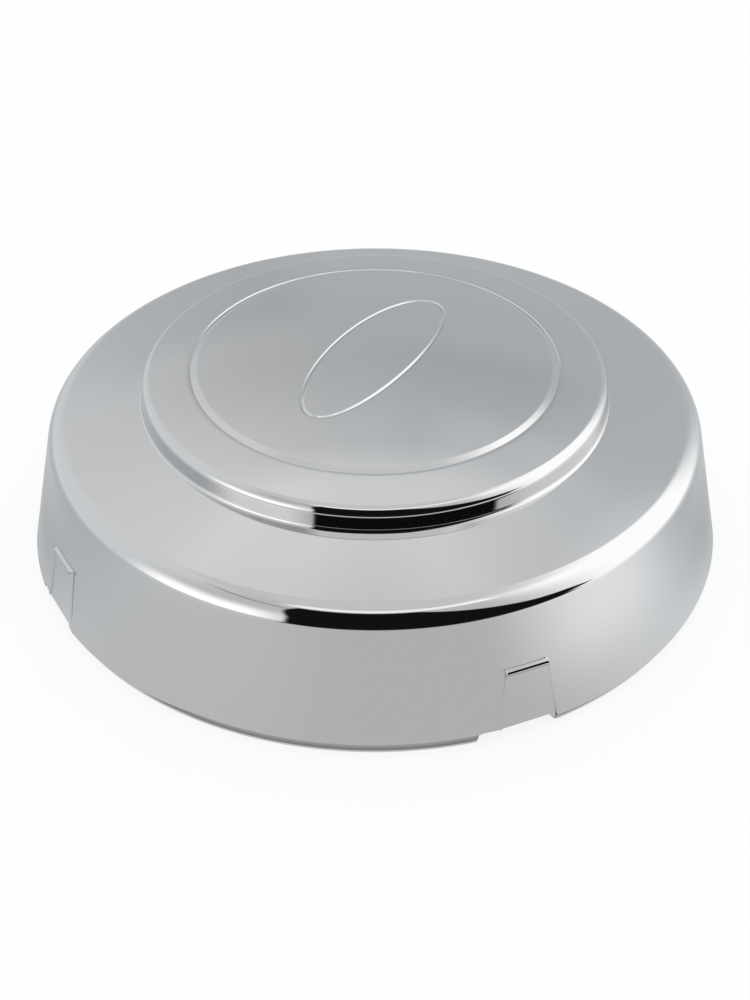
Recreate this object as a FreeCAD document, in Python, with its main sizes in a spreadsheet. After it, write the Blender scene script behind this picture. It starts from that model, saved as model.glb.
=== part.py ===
import FreeCAD, Part
import math
import os
import Sketcher

# Wheel centre cap: one moulded, chrome-plated plastic shell of even wall.
# Frame: millimetres, +Z up along the wheel's axle, origin on that axis at the foot of the lip.

doc = FreeCAD.newDocument("CenterCap")

# Driving sizes, in millimetres and degrees.
SIZES = {
    # shell
    "wall": 3.0,
    "rim_radius": 110.0,
    "skirt_draft": 11.1,
    "shoulder_height": 42.0,
    "shoulder_round": 7.0,
    "annulus_slope": 10.9,
    # raised boss with its domed top
    "boss_radius": 72.6,
    "boss_height": 7.9,
    "boss_draft": 2.0,
    "boss_round": 3.2,
    "boss_fillet": 1.5,
    "crown": 6.7,
    # locating lip under the skirt
    "lip_height": 3.6,
    "lip_inset": 1.8,
    "lip_edge": 0.5,
    # ring groove on the dome
    "ring_radius": 54.3,
    "ring_width": 4.2,
    "ring_ramp": 3.4,
    "ring_wall": 0.6,
    "ring_depth": 0.5,
    # oval groove in the middle of the dome
    "oval_long": 37.3,
    "oval_short": 13.4,
    "oval_width": 1.5,
    "oval_depth": 0.35,
    "oval_angle": 60.0,
    # leaning panels in the skirt, in two opposite pairs, and the notch in the lip under each
    "panel_pairs": 2,
    "panel_angle": 28.0,
    "panel_spread": 85.7,
    "panel_sink": 0.55,
    "panel_lean": 8.5,
    "panel_base": 0.8,
    "panel_height": 20.3,
    "panel_top_width": 13.6,
    "panel_foot_width": 18.0,
    "panel_round": 0.3,
    "notch_rise": 1.2,
    "notch_start": 14.5,
    "notch_start_slope": 1.1,
    "notch_end": 6.6,
    "notch_end_slope": 3.6,
    # how far each cutting tool reaches past the surface it cuts
    "overrun": 8.0,
}

# Places worked out from the driving sizes. A name ending in _r is a radius, in _z a height.
DERIVED = {
    "skirt_z": "Sizes.lip_height",
    "lip_r": "Sizes.rim_radius - Sizes.lip_inset",
    "lip_foot_r": "lip_r - Sizes.lip_edge",
    "inside_r": "Sizes.rim_radius - Sizes.wall / cos(Sizes.skirt_draft)",
    # sharp corners of the outer surface, before rounding
    "shoulder_z": "skirt_z + Sizes.shoulder_height",
    "shoulder_r": "Sizes.rim_radius - Sizes.shoulder_height * tan(Sizes.skirt_draft)",
    "foot_z": "shoulder_z + (shoulder_r - Sizes.boss_radius) * tan(Sizes.annulus_slope)",
    "top_z": "foot_z + Sizes.boss_height",
    "top_r": "Sizes.boss_radius - Sizes.boss_height * tan(Sizes.boss_draft)",
    "apex_z": "top_z + Sizes.crown",
    "dome_radius": "(top_r ^ 2 + Sizes.crown ^ 2) / (2 * Sizes.crown)",
    "dome_centre_z": "apex_z - dome_radius",
    "dome_tilt": "asin(top_r / dome_radius) / 1 deg",
    # the same corners one wall further in, along the bisector of each pair of faces
    "shoulder_step": "Sizes.wall / (1 + sin(Sizes.skirt_draft + Sizes.annulus_slope))",
    "inner_shoulder_r": "shoulder_r - shoulder_step * (cos(Sizes.skirt_draft) + sin(Sizes.annulus_slope))",
    "inner_shoulder_z": "shoulder_z - shoulder_step * (sin(Sizes.skirt_draft) + cos(Sizes.annulus_slope))",
    "foot_step": "Sizes.wall / (1 + sin(Sizes.boss_draft + Sizes.annulus_slope))",
    "inner_foot_r": "Sizes.boss_radius - foot_step * (cos(Sizes.boss_draft) + sin(Sizes.annulus_slope))",
    "inner_foot_z": "foot_z - foot_step * (sin(Sizes.boss_draft) + cos(Sizes.annulus_slope))",
    "top_step": "Sizes.wall / (1 + sin(Sizes.boss_draft + dome_tilt))",
    "inner_top_r": "top_r - top_step * (cos(Sizes.boss_draft) + sin(dome_tilt))",
    "inner_top_z": "top_z - top_step * (sin(Sizes.boss_draft) + cos(dome_tilt))",
    "inner_apex_z": "apex_z - Sizes.wall",
    # ring groove: a long inner ramp, a flat floor and a short outer wall
    "ring_outer_r": "Sizes.ring_radius + Sizes.ring_width",
    "ramp_end_r": "Sizes.ring_radius + Sizes.ring_ramp",
    "floor_end_r": "ring_outer_r - Sizes.ring_wall",
    "ring_inner_z": "dome_centre_z + sqrt(dome_radius ^ 2 - Sizes.ring_radius ^ 2)",
    "ring_outer_z": "dome_centre_z + sqrt(dome_radius ^ 2 - ring_outer_r ^ 2)",
    "ring_floor_z": "ring_outer_z - Sizes.ring_depth",
    "ring_over_z": "ring_inner_z + Sizes.overrun",
    # panel outlines in the leaning plane of the face, and notch outlines in an upright plane
    "panel_plane": "Sizes.rim_radius - Sizes.panel_sink",
    "second_angle": "Sizes.panel_angle + Sizes.panel_spread",
    "panel_start": "Sizes.panel_base / cos(Sizes.panel_lean)",
    "panel_length": "Sizes.panel_height / cos(Sizes.panel_lean)",
    "panel_top_r": "panel_plane - Sizes.panel_height * tan(Sizes.panel_lean)",
    "panel_top_z": "skirt_z + Sizes.panel_height",
    "panel_top_half": "Sizes.panel_top_width / 2",
    "panel_foot_half": "Sizes.panel_foot_width / 2",
    "notch_z": "skirt_z + Sizes.notch_rise",
    "notch_start_foot": "Sizes.notch_start + Sizes.notch_start_slope",
    "notch_end_foot": "Sizes.notch_end + Sizes.notch_end_slope",
}


def fill_sheet(name, cells, mark):
    """A sheet with one named cell a row: the name in column A, the value in column B."""
    sheet = doc.addObject("Spreadsheet::Sheet", name)
    for row, (alias, content) in enumerate(cells.items(), 1):
        sheet.set(f"A{row}", alias)
        sheet.set(f"B{row}", f"{mark}{content}")
        sheet.setAlias(f"B{row}", alias)
    doc.recompute()
    return sheet


sizes = fill_sheet("Sizes", SIZES, "")
derived = fill_sheet("Derived", DERIVED, "=")


def value(alias):
    """The number that a named cell holds."""
    return float(sizes.get(alias) if alias in SIZES else derived.get(alias))


def cell(alias):
    """The expression that points at a named cell."""
    return ("Sizes." if alias in SIZES else "Derived.") + alias


def origin_feature(body, role):
    """One of the body's own origin planes or axes."""
    return next(item for item in body.Origin.OriginFeatures if item.Role == role)


def place(alias):
    """A signed sketch coordinate: a named cell, the same with a minus sign, or zero for None."""
    if alias is None:
        return 0.0
    return -value(alias[1:]) if alias.startswith("-") else value(alias)


def outline(body, name, plane, corners, arc_sides=()):
    """A closed sketch, drawn anticlockwise through named corners.

    A corner is its two named distances from the origin and, where it is rounded, a named radius.
    A side in arc_sides runs anticlockwise about a centre on the upright axis.
    """
    sketch = body.newObject("Sketcher::SketchObject", name)
    sketch.AttachmentSupport = (origin_feature(body, plane), [""])
    sketch.MapMode = "FlatFace"
    points = [FreeCAD.Vector(place(corner[0]), place(corner[1]), 0) for corner in corners]
    count = len(points)
    centres = {side: axis_centre(points[side], points[(side + 1) % count]) for side in arc_sides}
    rounds = {}
    for number, corner in enumerate(corners):
        if len(corner) == 3:
            arriving = heading(points, number - 1, points[number], centres)
            leaving = heading(points, number, points[number], centres)
            rounds[number] = corner_round(points[number], arriving, leaving, value(corner[2]))
    for side in range(count):
        following = (side + 1) % count
        start = rounds[side][1] if side in rounds else points[side]
        end = rounds[following][0] if following in rounds else points[following]
        if side in centres:
            sketch.addGeometry(arc_between(centres[side], start, end))
            sketch.addConstraint(Sketcher.Constraint("PointOnObject", side, 3, -2))
        else:
            sketch.addGeometry(Part.LineSegment(start, end))
    for side, corner in enumerate(corners):
        before = (side - 1) % count
        held = side
        if side in rounds:
            held = add_round(sketch, before, side, points[side], rounds[side], corner[2])
        else:
            sketch.addConstraint(Sketcher.Constraint("Coincident", before, 2, side, 1))
        hold(sketch, held, "DistanceX", -2, corner[0])
        hold(sketch, held, "DistanceY", -1, corner[1])
    return sketch


def axis_centre(start, end):
    """The point on the upright axis that is as far from one end of an arc as from the other."""
    return FreeCAD.Vector(0, (end.Length ** 2 - start.Length ** 2) / (2 * (end.y - start.y)), 0)


def arc_between(centre, start, end):
    """The anticlockwise arc about a centre, from the bearing of one point to that of another."""
    turns = [math.atan2(point.y - centre.y, point.x - centre.x) for point in (start, end)]
    circle = Part.Circle(centre, FreeCAD.Vector(0, 0, 1), (start - centre).Length)
    return Part.ArcOfCircle(circle, *turns)


def heading(points, side, at, centres):
    """The direction of travel along a side, at one of its ends."""
    side %= len(points)
    if side in centres:
        spoke = at - centres[side]
        return FreeCAD.Vector(-spoke.y, spoke.x, 0).normalize()
    return (points[(side + 1) % len(points)] - points[side]).normalize()


def corner_round(corner, arriving, leaving, radius):
    """Where a rounding leaves the side before a corner, where it joins the next, and its centre."""
    left = arriving.cross(leaving).z > 0
    setback = radius * math.tan(arriving.getAngle(leaving) / 2)
    first = corner - arriving * setback
    inward = FreeCAD.Vector(-arriving.y, arriving.x, 0) * (radius if left else -radius)
    return first, corner + leaving * setback, first + inward, left


def add_round(sketch, before, after, corner, rounding, alias):
    """Draw a rounding tangent to two sides, and keep the sharp corner that they were drawn to."""
    first, last, centre, left = rounding
    ends = (first, last) if left else (last, first)
    arc = sketch.addGeometry(arc_between(centre, *ends))
    sharp = sketch.addGeometry(Part.Point(corner), True)
    near, far = (1, 2) if left else (2, 1)
    sketch.addConstraint(Sketcher.Constraint("Tangent", before, 2, arc, near))
    sketch.addConstraint(Sketcher.Constraint("Tangent", arc, far, after, 1))
    sketch.addConstraint(Sketcher.Constraint("PointOnObject", sharp, 1, before))
    sketch.addConstraint(Sketcher.Constraint("PointOnObject", sharp, 1, after))
    size = sketch.addConstraint(Sketcher.Constraint("Radius", arc, value(alias)))
    sketch.setExpression(f"Constraints[{size}]", cell(alias))
    return sharp


def hold(sketch, held, kind, axis, alias):
    """Hold a point, or the start of a side, at a named distance, or on an axis for None."""
    if alias is None:
        sketch.addConstraint(Sketcher.Constraint("PointOnObject", held, 1, axis))
        return
    ends = (held, 1, -1, 1) if alias.startswith("-") else (-1, 1, held, 1)
    number = sketch.addConstraint(Sketcher.Constraint(kind, *ends, abs(place(alias))))
    sketch.setExpression(f"Constraints[{number}]", cell(alias.lstrip("-")))


def turned(body, kind, name, sketch):
    """A full turn of a sketch about the upright axis, added or cut away."""
    feature = body.newObject(f"PartDesign::{kind}", name)
    feature.Profile = sketch
    feature.ReferenceAxis = (sketch, ["V_Axis"])
    feature.Angle = 360.0
    doc.recompute()
    return feature


def rounded(body, name, base, edges, alias):
    """A fillet of a named radius on the given edges."""
    feature = body.newObject("PartDesign::Fillet", name)
    feature.Base = (base, edges)
    feature.setExpression("Radius", cell(alias))
    doc.recompute()
    return feature


def panel_sketch(body, name, corners, turn, lean, height):
    """An outline in a plane that faces outward at a named angle and leans in by a named angle."""
    sketch = outline(body, name, "YZ_Plane", corners)
    reach = cell("panel_plane")
    sketch.setExpression("AttachmentOffset", (
        f"placement(vector({reach} * sin({turn}); {height}; {reach} * cos({turn}));"
        f" rotation(vector(0; 1; 0); {turn}) * rotation(vector(1; 0; 0); -1 * {lean}))"))
    doc.recompute()
    return sketch


def swept(body, kind, name, sketch, length, reverse=False, both_ways=False):
    """A straight pad or pocket of a named length from a panel's plane."""
    feature = body.newObject(f"PartDesign::{kind}", name)
    feature.Profile = sketch
    feature.setExpression("Length", length)
    feature.Reversed = reverse
    feature.Midplane = both_ways
    doc.recompute()
    return feature


def shell(body):
    """The round shell: the outer form turned solid, then hollowed to an even wall."""
    outer = outline(body, "OuterProfile", "XZ_Plane", [
        (None, None),
        ("lip_foot_r", None),
        ("lip_r", "lip_edge"),
        ("lip_r", "skirt_z"),
        ("rim_radius", "skirt_z"),
        ("shoulder_r", "shoulder_z", "shoulder_round"),
        ("boss_radius", "foot_z", "boss_fillet"),
        ("top_r", "top_z", "boss_round"),
        (None, "apex_z"),
    ], arc_sides=(7,))
    turned(body, "Revolution", "OuterForm", outer)
    inner = outline(body, "InnerProfile", "XZ_Plane", [
        (None, None),
        ("inside_r", None),
        ("inside_r", "skirt_z"),
        ("inner_shoulder_r", "inner_shoulder_z"),
        ("inner_foot_r", "inner_foot_z"),
        ("inner_top_r", "inner_top_z"),
        (None, "inner_apex_z"),
    ], arc_sides=(5,))
    return turned(body, "Groove", "Hollow", inner)


def ring_groove(body):
    """The shallow ring on the dome: a long ramp inside, a flat floor and a short wall outside."""
    section = outline(body, "RingSection", "XZ_Plane", [
        ("ring_radius", "ring_inner_z"),
        ("ramp_end_r", "ring_floor_z"),
        ("floor_end_r", "ring_floor_z"),
        ("ring_outer_r", "ring_outer_z"),
        ("ring_outer_r", "ring_over_z"),
        ("ring_radius", "ring_over_z"),
    ])
    return turned(body, "Groove", "RingGroove", section)


def panel(body, mark, turn):
    """One panel at a named angle: proud of the drafted skirt at its top, just sunk at its foot."""
    face = panel_sketch(body, f"PanelFace{mark}", [
        ("-panel_foot_half", "panel_start"),
        ("panel_foot_half", "panel_start"),
        ("panel_top_half", "panel_length"),
        ("-panel_top_half", "panel_length"),
    ], turn, cell("panel_lean"), cell("skirt_z"))
    recess = swept(body, "Pocket", f"PanelRecess{mark}", face, "Sizes.overrun", reverse=True)
    plate = swept(body, "Pad", f"PanelPlate{mark}", face, "Sizes.wall", reverse=True)
    gap = panel_sketch(body, f"NotchFace{mark}", [
        ("-notch_start_foot", None),
        ("notch_end_foot", None),
        ("notch_end", "notch_z"),
        ("-notch_start", "notch_z"),
    ], turn, "0", "0")
    notch = swept(body, "Pocket", f"LipNotch{mark}", gap, "2 * Sizes.overrun", both_ways=True)
    return [recess, plate, notch]


def panels(body):
    """Two panels, repeated on the far side, with the front edge of each ledge rounded."""
    first = panel(body, "A", cell("panel_angle"))
    second = panel(body, "B", cell("second_angle"))
    pattern = body.newObject("PartDesign::PolarPattern", "PanelPattern")
    pattern.Originals = first + second
    pattern.Axis = (origin_feature(body, "Z_Axis"), [""])
    pattern.Angle = 360.0
    pattern.setExpression("Occurrences", "Sizes.panel_pairs")
    body.Tip = pattern
    doc.recompute()
    return rounded(body, "PanelRound", pattern, ledge_edges(pattern), "panel_round")


def ledge_edges(feature):
    """The names of the straight top edges of the panels' faces."""
    top = value("panel_top_z")
    reach = value("panel_top_r")
    names = []
    for number, edge in enumerate(feature.Shape.Edges, 1):
        middle = edge.CenterOfMass
        level = edge.BoundBox.ZLength < EDGE_MATCH and abs(middle.z - top) < EDGE_MATCH
        if level and math.isclose(math.hypot(middle.x, middle.y), reach, abs_tol=EDGE_MATCH):
            names.append(f"Edge{number}")
    return names


def oval_cutter(name, spread):
    """An upright elliptic post over the dome, its ellipse grown by a signed share of the groove."""
    rim = doc.addObject("Part::Ellipse", f"{name}Rim")
    rim.setExpression("MajorRadius", f"Sizes.oval_long {spread} Sizes.oval_width / 2")
    rim.setExpression("MinorRadius", f"Sizes.oval_short {spread} Sizes.oval_width / 2")
    rim.setExpression("Placement.Rotation.Angle", "Sizes.oval_angle")
    rim.setExpression("Placement.Base.z", "Derived.foot_z")
    post = doc.addObject("Part::Extrusion", name)
    post.Base = rim
    post.DirMode = "Custom"
    post.Dir = FreeCAD.Vector(0, 0, 1)
    post.setExpression("LengthFwd", "Derived.apex_z - Derived.foot_z + Sizes.overrun")
    post.Solid = True
    return post


def cut(name, base, tool):
    """One shape less another."""
    feature = doc.addObject("Part::Cut", name)
    feature.Base = base
    feature.Tool = tool
    doc.recompute()
    return feature


def oval_groove(body):
    """The plain oval line on the dome, of even depth under the curved surface."""
    ring = cut("OvalRing", oval_cutter("OvalOuter", "+"), oval_cutter("OvalInner", "-"))
    floor = doc.addObject("Part::Sphere", "OvalFloor")
    floor.setExpression("Radius", "Derived.dome_radius - Sizes.oval_depth")
    floor.setExpression("Placement.Base.z", "Derived.dome_centre_z")
    return cut("CenterCap", body, cut("OvalTool", ring, floor))


EDGE_MATCH = 1e-4

body = doc.addObject("PartDesign::Body", "CapBody")
shell(body)
ring_groove(body)
panels(body)
cap = oval_groove(body)
cap.Label = "center_cap"
cap.Placement = FreeCAD.Placement()
doc.recompute()

for item in doc.Objects:
    if {"Invalid", "Error"} & set(item.State):
        raise RuntimeError(f"{item.Name} did not build: {item.State}")
if cap.Shape.isNull() or not cap.Shape.isValid() or len(cap.Shape.Solids) != 1:
    raise RuntimeError("the cap is not one valid solid")

os.makedirs("parts", exist_ok=True)
cap.Shape.exportStep(f"parts/{cap.Label}.step")
print(cap.Label, "volume", round(cap.Shape.Volume), "mm3, box", cap.Shape.BoundBox)
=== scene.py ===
# %% [markdown]
# A wheel center cap, from frame to finish
#
# The cap is one moulded plastic shell with bright chrome on it. Chrome has hardly any colour of its own:
# what the eye reads is the curve of the surface and the studio around it. So this lesson spends its
# care on an exact surface with exact normals, and on a light tent for the metal to mirror.

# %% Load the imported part
import math

import bpy
import numpy as np
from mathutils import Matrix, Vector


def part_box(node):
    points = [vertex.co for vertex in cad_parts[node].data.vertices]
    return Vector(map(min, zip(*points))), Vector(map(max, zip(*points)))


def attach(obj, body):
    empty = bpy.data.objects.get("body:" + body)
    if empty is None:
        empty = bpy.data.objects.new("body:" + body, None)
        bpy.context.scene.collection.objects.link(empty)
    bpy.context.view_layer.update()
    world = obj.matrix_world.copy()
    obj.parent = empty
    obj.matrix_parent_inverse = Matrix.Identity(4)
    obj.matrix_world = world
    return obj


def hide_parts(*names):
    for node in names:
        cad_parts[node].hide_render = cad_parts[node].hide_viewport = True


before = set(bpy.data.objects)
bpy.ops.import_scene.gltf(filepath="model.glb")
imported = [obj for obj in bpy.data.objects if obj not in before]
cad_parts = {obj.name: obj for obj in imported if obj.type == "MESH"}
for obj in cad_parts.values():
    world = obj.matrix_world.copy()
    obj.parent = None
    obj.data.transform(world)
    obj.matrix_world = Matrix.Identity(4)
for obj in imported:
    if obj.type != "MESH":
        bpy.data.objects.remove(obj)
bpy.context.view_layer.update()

MM = 0.001
NODE = "center_cap"
low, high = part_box(NODE)
print("frame box in mm", [round(1000 * value, 2) for value in (*low, *high)])

# %% [markdown]
# The corners of the shell
#
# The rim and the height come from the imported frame. The rest are the sizes of the moulding, in
# millimetres and degrees, and the corners follow from them: a drafted skirt, a rounded shoulder, a
# sloping annulus, a short boss wall and a shallow dome. Keeping them as named values means that the
# mesh, like a turned part, changes by one number at a time.

# %% The corners of the shell
rim_radius = min(high.x, high.y, -low.x, -low.y) / MM
apex_height = high.z / MM
lip_height = 3.6
skirt_draft = math.radians(11.1)
shoulder_height = 42.0
annulus_slope = math.radians(12.2)
boss_radius = 72.6
boss_height = 7.2
boss_draft = math.radians(2.0)


def normal_at(angle):
    """The outward direction in the (radius, height) plane at an angle above level."""
    return np.array([math.cos(angle), math.sin(angle)])


skirt_run = shoulder_height * math.tan(skirt_draft)
shoulder = np.array([rim_radius - skirt_run, lip_height + shoulder_height])
annulus_rise = (shoulder[0] - boss_radius) * math.tan(annulus_slope)
boss_foot = np.array([boss_radius, shoulder[1] + annulus_rise])
boss_top = boss_foot + boss_height * np.array([-math.tan(boss_draft), 1.0])
crown = apex_height - boss_top[1]
dome_radius = (boss_top[0] ** 2 + crown ** 2) / (2 * crown)
dome_centre = np.array([0.0, apex_height - dome_radius])
skirt_normal = normal_at(skirt_draft)
annulus_normal = normal_at(math.pi / 2 - annulus_slope)
boss_normal = normal_at(boss_draft)
print("shoulder", shoulder.round(2), "boss foot", boss_foot.round(2), "boss top", boss_top.round(2))
print("dome radius", round(dome_radius, 1), "crown", round(crown, 2))

# %% [markdown]
# Places across a panel
#
# Four small panels sit on the skirt, each with a notch in the lip below it. Cutting them out of a
# finished mesh would leave long thin triangles, which chrome shows. Instead each panel gets its own band
# of mesh columns, set at sideways distances from the panel's middle and close together at every edge of
# the panel and the notch.

# %% Places across a panel
panel_sink = 0.55
panel_plane = rim_radius - panel_sink
panel_foot_half = 9.0
edge_half = 0.34
notch_rise = 1.2
notch_start = -14.5
notch_start_foot = -15.6
notch_end = 6.6
notch_end_foot = 10.2
band_margin = 3.4


def runs(*stops):
    """Spread points over consecutive stretches: each stop is (end, number of steps)."""
    start = stops[0][0]
    stretches = []
    for end, steps in stops[1:]:
        stretches.append(np.linspace(start, end, steps, endpoint=False))
        start = end
    return np.concatenate(stretches + [[start]])


# where the sloped ends of a notch pass the level of the skirt's foot
foot_share = lip_height / (lip_height + notch_rise)
notch_start_level = notch_start_foot + foot_share * (notch_start - notch_start_foot)
notch_end_level = notch_end_foot + foot_share * (notch_end - notch_end_foot)
band = runs(
    (notch_start_foot - band_margin, 0),
    (notch_start_foot, 3),
    (notch_start_level, 3),
    (notch_start, 2),
    (-panel_foot_half - edge_half, 5),
    (-panel_foot_half + edge_half, 6),
    (notch_end, 12),
    (notch_end_level, 3),
    (panel_foot_half - edge_half, 3),
    (panel_foot_half + edge_half, 6),
    (notch_end_foot, 3),
    (notch_end_foot + band_margin, 3),
)
print("columns in a band", len(band), "over", round(band[-1] - band[0], 1), "mm")

# %% [markdown]
# Columns around the cap
#
# The mesh is one grid. Its columns run from the middle of the dome down the outside, round the lip and
# back up the inside. The panels sit in two opposite pairs, not quite a quarter turn apart, and the gaps
# between their bands are shared out evenly. Each column keeps its bearing, its sideways place, the
# bearing of its panel's middle, and whether it belongs to a band at all.

# %% Columns around the cap
panel_bearing = 28.0
panel_spread = 85.7
gap_step = math.radians(1.35)
middles = np.radians(panel_bearing + np.array([0.0, panel_spread, 180.0, 180.0 + panel_spread]))
band_angles = np.arctan2(band, panel_plane)
column_parts = []
for middle, following in zip(middles, np.append(middles[1:], middles[0] + 2 * math.pi)):
    first = middle + band_angles[-1]
    last = following + band_angles[0]
    gap = np.linspace(first, last, round((last - first) / gap_step) + 1)[1:-1]
    column_parts.append(np.stack([middle + band_angles, band, 0 * band + middle, 0 * band + 1]))
    column_parts.append(np.stack([gap, 0 * gap + band[-1], 0 * gap + middle, 0 * gap]))
column_angle, side, column_middle, banded = np.concatenate(column_parts, 1)
banded = banded > 0
columns = len(column_angle)
print("columns", columns)

# %% [markdown]
# The dome with its oval line
#
# On the real cap a fine oval line is pressed into the crown of the dome, and the place inside it is
# bare. A boolean cut would leave a ragged edge that chrome shows at once. Here the rings of the grid
# follow the oval instead: ellipses grow from the pole to the line, a dozen rings cross it, and then the
# rings ease from the oval to a circle. The height is the dome less a smooth trough, so the normal is
# known exactly from the slope.

# %% The dome with its oval line
oval_long = 37.3
oval_short = 13.4
oval_half_width = 0.85
oval_depth = 0.42
oval_angle = math.radians(60.0)
ring_radius = 54.9
ring_margin = 0.6


def dome_height(radius):
    """Height of the dome: its sphere's centre plus the root of (sphere radius squared less radius
    squared)."""
    return dome_centre[1] + np.sqrt(dome_radius ** 2 - radius ** 2)


def dome_slope(radius):
    """How fast the dome falls outward: minus radius over the height above the sphere's centre."""
    return -radius / np.sqrt(dome_radius ** 2 - radius ** 2)


def unit(vectors):
    """Vectors scaled to length one along their last axis."""
    return vectors / np.linalg.norm(vectors, axis=-1, keepdims=True)


def oval_rows():
    """Rings over the dome, as points and normals.

    At parameter u the oval's line is (long cos u, short sin u), and its outward direction is
    (short cos u, long sin u) made unit length. A ring at distance d from the line adds d times that
    direction, and the trough's depth there is half its depth times (1 + cos(pi d / half width)).
    """
    u = column_angle - oval_angle
    line = np.stack([oval_long * np.cos(u), oval_short * np.sin(u)], -1)
    outward = unit(np.stack([oval_short * np.cos(u), oval_long * np.sin(u)], -1))
    circle = (ring_radius - ring_margin) * np.stack([np.cos(u), np.sin(u)], -1)
    across = np.linspace(-1, 1, 13) * oval_half_width
    grow = np.linspace(0, 1, 8)[1:-1, None, None]
    widen = np.linspace(0, 1, 11)[1:, None, None]
    inner = grow * (line + across[0] * outward)
    crossing = line + across[:, None, None] * outward
    outer = (1 - widen) * (line + across[-1] * outward) + widen * circle
    flat = np.concatenate([inner, crossing, outer])
    distance = np.concatenate([np.full(len(grow), across[0]), across, np.full(len(widen), across[-1])])
    phase = math.pi * distance / oval_half_width
    depth = oval_depth * (1 + np.cos(phase)) / 2
    steep = -oval_depth * math.pi / oval_half_width * np.sin(phase) / 2
    radius = np.linalg.norm(flat, axis=-1)
    slope = dome_slope(radius)[..., None] * flat / radius[..., None] - steep[:, None, None] * outward
    height = dome_height(radius) - depth[:, None]
    spin = np.array([[math.cos(oval_angle), math.sin(oval_angle)],
                     [-math.sin(oval_angle), math.cos(oval_angle)]])
    points = np.concatenate([flat @ spin, height[..., None]], -1)
    normals = unit(np.concatenate([-slope @ spin, np.ones_like(height)[..., None]], -1))
    return points, normals


crown_points, crown_normals = oval_rows()
crown_drop = float(apex_height - crown_points[..., 2].min())
print("dome rings", len(crown_points), "lowest", round(crown_drop, 2), "mm below the apex")

# %% [markdown]
# The turned outside
#
# From the ring groove to the skirt the cap is a body of revolution, so one profile is enough. Each
# stretch of it is a line or an arc, and each row keeps its own outward direction. That matters more than
# the number of rows: with true normals a rounding of two millimetres mirrors the studio without a kink
# where it meets the flat beside it.

# %% Helpers for a turned profile


def line_rows(start, end, direction, steps):
    """Points on a straight stretch with one outward direction: rows of radius, height and normal."""
    share = np.linspace(0, 1, steps)[:, None]
    return np.concatenate([start + share * (end - start), np.tile(direction, (steps, 1))], 1)


def arc_rows(centre, radius, first, last, steps, hollow=False):
    """Points on an arc between two angles; a hollow arc has its normal towards its centre."""
    angle = np.linspace(first, last, steps)[:, None]
    direction = np.concatenate([np.cos(angle), np.sin(angle)], 1)
    sign = -1 if hollow else 1
    return np.concatenate([centre + sign * radius * direction, direction], 1)


def corner_centre(corner, normal_a, normal_b, radius):
    """Centre of a rounding that touches both faces of a corner: along the sum of their normals."""
    return corner - radius * (normal_a + normal_b) / (1 + normal_a @ normal_b)


def turn_rows(rows):
    """Carry rows of radius, height and normal round every column angle."""
    spoke = np.stack([np.cos(column_angle), np.sin(column_angle)], -1)
    level = np.ones((1, columns, 1))
    points = np.concatenate([rows[:, None, :1] * spoke, rows[:, None, 1:2] * level], -1)
    normals = np.concatenate([rows[:, None, 2:3] * spoke, rows[:, None, 3:] * level], -1)
    return points, normals


print("profile helpers ready for", columns, "columns")

# %% [markdown]
# The ring groove
#
# A shallow ring runs round the dome outside the oval. In the metal it reads as one bright line beside a
# fine dark one, because its inner side is a long ramp and its outer side a short wall. A symmetric
# trough would show two equal lines. So the profile is the dome less a ramp, a wall and a soft shelf,
# each with a known slope.

# %% The ring groove
ring_ramp = 2.3
ring_wall = 0.5
ring_shelf = 1.4
ring_depth = 0.5
shelf_share = 0.3
ramp_ease = 0.12


def smooth_step(share):
    """An ease from 0 to 1: three share squared less two share cubed, and its rate of change."""
    share = np.clip(share, 0, 1)
    return share ** 2 * (3 - 2 * share), 6 * share * (1 - share)


def eased_line(share):
    """A straight rise from 0 to 1 with a parabola at each end, and its rate of change."""
    share = np.clip(share, 0, 1)
    near = np.minimum(share, 1 - share)
    bend = near ** 2 / (2 * ramp_ease * (1 - ramp_ease))
    straight = (near - ramp_ease / 2) / (1 - ramp_ease)
    part = np.where(near < ramp_ease, bend, straight)
    return np.where(share < 0.5, part, 1 - part), np.minimum(near / ramp_ease, 1) / (1 - ramp_ease)


def ring_rows(radius):
    """The dome less the ring groove.

    A long ramp goes down, a short wall comes most of the way up, and a shelf that eases out as one
    less the square of what is left of it brings the surface back to the dome.
    """
    down, down_rate = eased_line((radius - ring_radius) / ring_ramp)
    up, up_rate = smooth_step((radius - ring_radius - ring_ramp) / ring_wall)
    left = 1 - np.clip((radius - ring_radius - ring_ramp - ring_wall / 2) / ring_shelf, 0, 1)
    level = (1 - shelf_share) * (1 - up) + shelf_share * left ** 2
    fall = -(1 - shelf_share) * up_rate / ring_wall - shelf_share * 2 * left / ring_shelf * (left < 1)
    height = dome_height(radius) - ring_depth * down * level
    slope = dome_slope(radius) - ring_depth * (down_rate / ring_ramp * level + down * fall)
    facing = unit(np.stack([-slope, np.ones_like(slope)], -1))
    return np.concatenate([np.stack([radius, height], -1), facing], 1)


ramp_end = ring_radius + ring_ramp
groove_end = ramp_end + ring_wall / 2 + ring_shelf
ring = ring_rows(runs((ring_radius, 0), (ramp_end, 12), (ramp_end + ring_wall, 6), (groove_end, 6)))
print("ring groove from", ring_radius, "to", round(groove_end, 2), "mm radius")

# %% [markdown]
# The edge of the boss
#
# The dome ends in an even round, the boss wall below it stands almost upright, and a small fillet leads
# out to the annulus, which it meets in a crease. Where the round and the fillet near the upright they
# tip the mirror down to the pale table for a moment, before it meets the annulus, which draws a thin
# bright line at each end of the wall. Close rows keep those lines even.

# %% The boss edge and wall
boss_round = 3.2
boss_fillet = 1.9
fillet_end = math.radians(50.0)
wall_up = np.array([-math.sin(boss_draft), math.cos(boss_draft)])


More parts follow.
